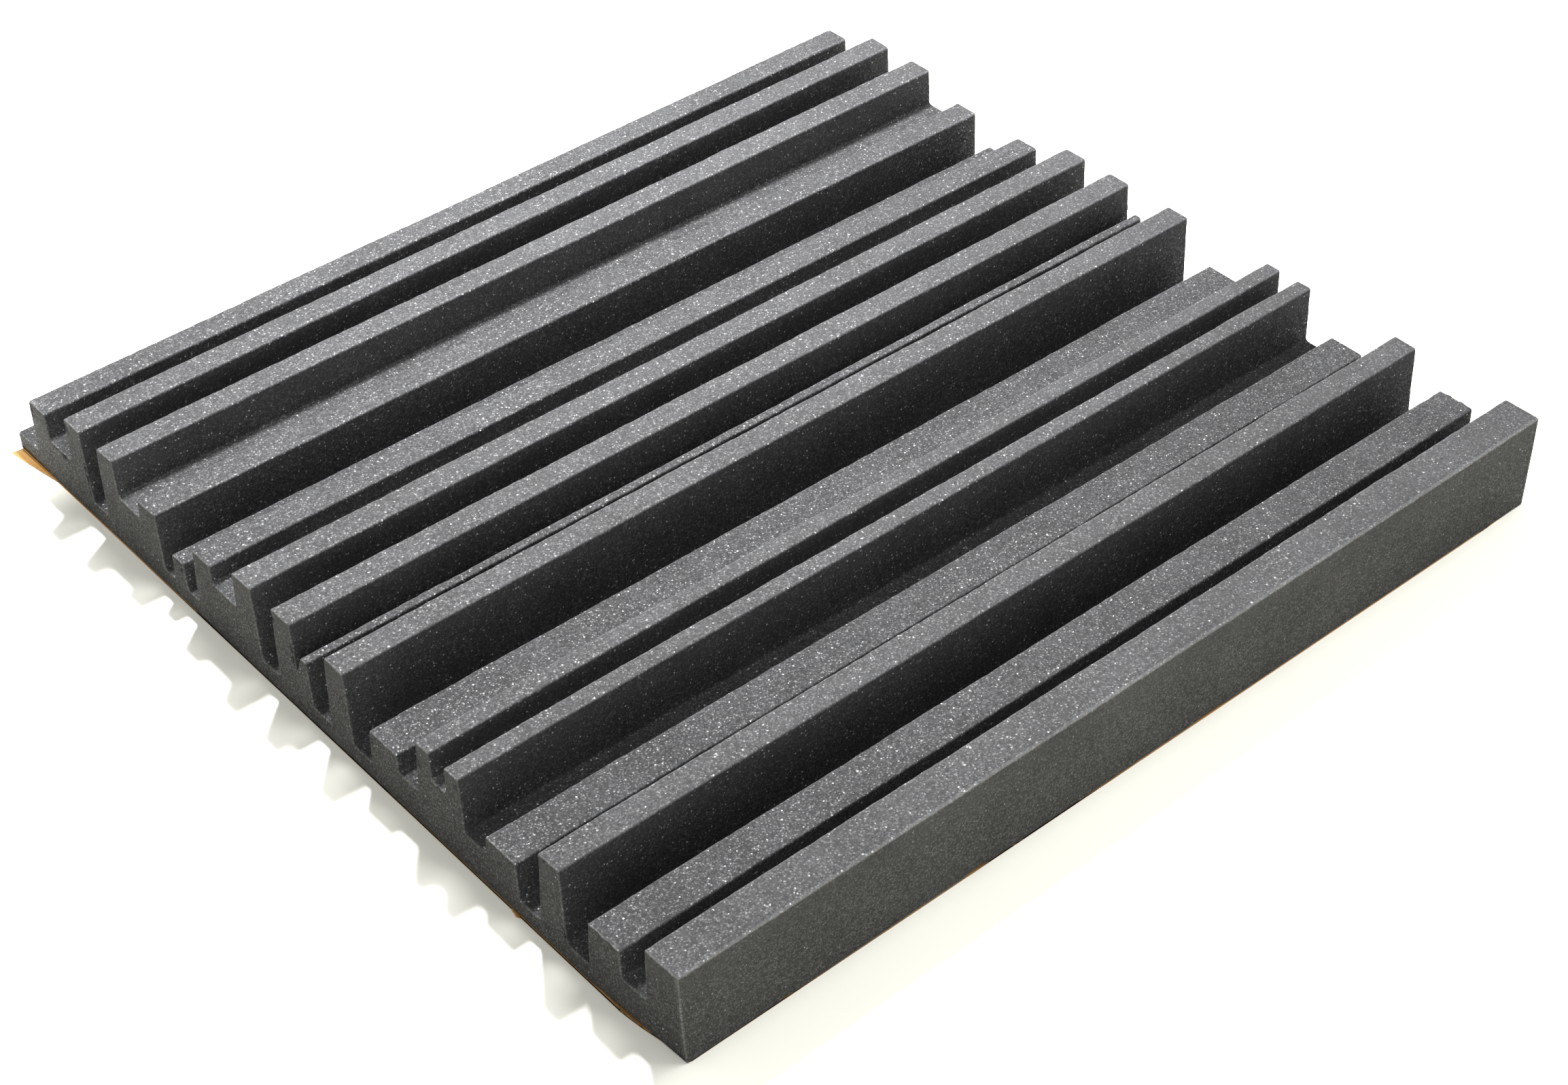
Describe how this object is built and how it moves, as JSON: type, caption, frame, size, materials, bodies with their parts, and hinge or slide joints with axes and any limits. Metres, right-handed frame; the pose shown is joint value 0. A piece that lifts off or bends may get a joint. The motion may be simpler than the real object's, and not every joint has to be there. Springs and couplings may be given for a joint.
{
  "type": "acoustic foam panel",
  "caption": "Square charcoal foam sound absorber with straight parallel ribs of unequal width and height on a thin web, and a flat self-adhesive back under an amber liner.",
  "frame": {"origin": "centre of the foam's flat back, on the outer face of the release liner", "axes": "+X across the ribs from the low edge to the tall edge rib, +Y along the ribs, +Z out of the back towards the crests"},
  "size_m": [0.5, 0.505, 0.0502],
  "materials": {
    "foam": "matt charcoal open-cell polyurethane foam with fine glinting cells",
    "liner": "smooth amber siliconised release paper, slightly see-through at its free edge"
  },
  "bodies": {
    "root": {"foam_panel": "foam", "release_liner": "liner"}
  },
  "joints": []
}
